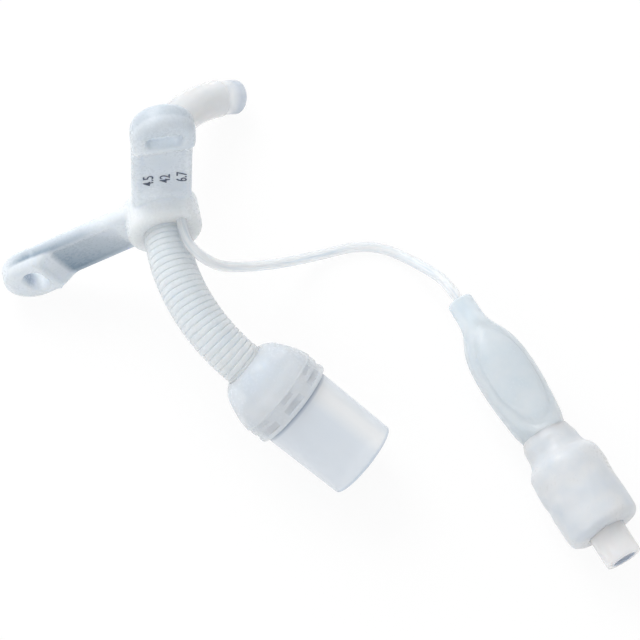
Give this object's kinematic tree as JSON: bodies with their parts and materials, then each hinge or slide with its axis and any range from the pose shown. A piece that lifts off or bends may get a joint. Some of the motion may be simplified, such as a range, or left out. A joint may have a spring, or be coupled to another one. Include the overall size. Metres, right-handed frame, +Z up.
{
  "type": "tracheostomy tube",
  "caption": "Soft tracheostomy tube with a V-shaped neck flange, cuffed curved cannula, ribbed extension, tapered connector and a pilot balloon with valve.",
  "frame": {"origin": "on the table, under the middle of the box around the flange, cannula, extension and connector", "axes": "+Z up from the table; +Y the way the cannula points away from the flange, level; +X towards the connector and the pilot balloon"},
  "size_m": [0.1248, 0.0856, 0.0521],
  "materials": {
    "flange_silicone": "frosted clear silicone, satin",
    "cannula_silicone": "clear silicone, satin",
    "cuff_silicone": "thin clear silicone, satin",
    "extension_silicone": "clear ribbed silicone, satin",
    "boot_silicone": "clear silicone, satin",
    "connector_plastic": "clear rigid plastic, satin",
    "line_silicone": "clear tubing, glossy",
    "balloon_silicone": "thin clear film, glossy",
    "sleeve_silicone": "frosted silicone, satin",
    "valve_plastic": "white plastic",
    "stem_plastic": "white plastic",
    "seal_rubber": "dark rubber",
    "spring_steel": "bare wire"
  },
  "bodies": {
    "tube": {"neck_flange": "flange_silicone", "cannula": "cannula_silicone", "cuff": "cuff_silicone", "extension_sleeve": "extension_silicone", "connector_boot": "boot_silicone", "connector_15mm": "connector_plastic", "inflation_line": "line_silicone", "pilot_balloon": "balloon_silicone", "valve_sleeve": "sleeve_silicone", "valve_body": "valve_plastic", "valve_retainer": "valve_plastic", "valve_spring": "spring_steel"},
    "valve_stem": {"valve_stem": "stem_plastic", "valve_seal": "seal_rubber"}
  },
  "joints": [
    {"name": "valve_stem_slide", "type": "slide", "parent": "tube", "child": "valve_stem", "axis": [-0.641, 0.7675, 0], "range_m": [0, 0.0015], "stiffness_N_per_m": 200, "springref_m": -0.0015, "deforming": ["valve_spring"]}
  ]
}
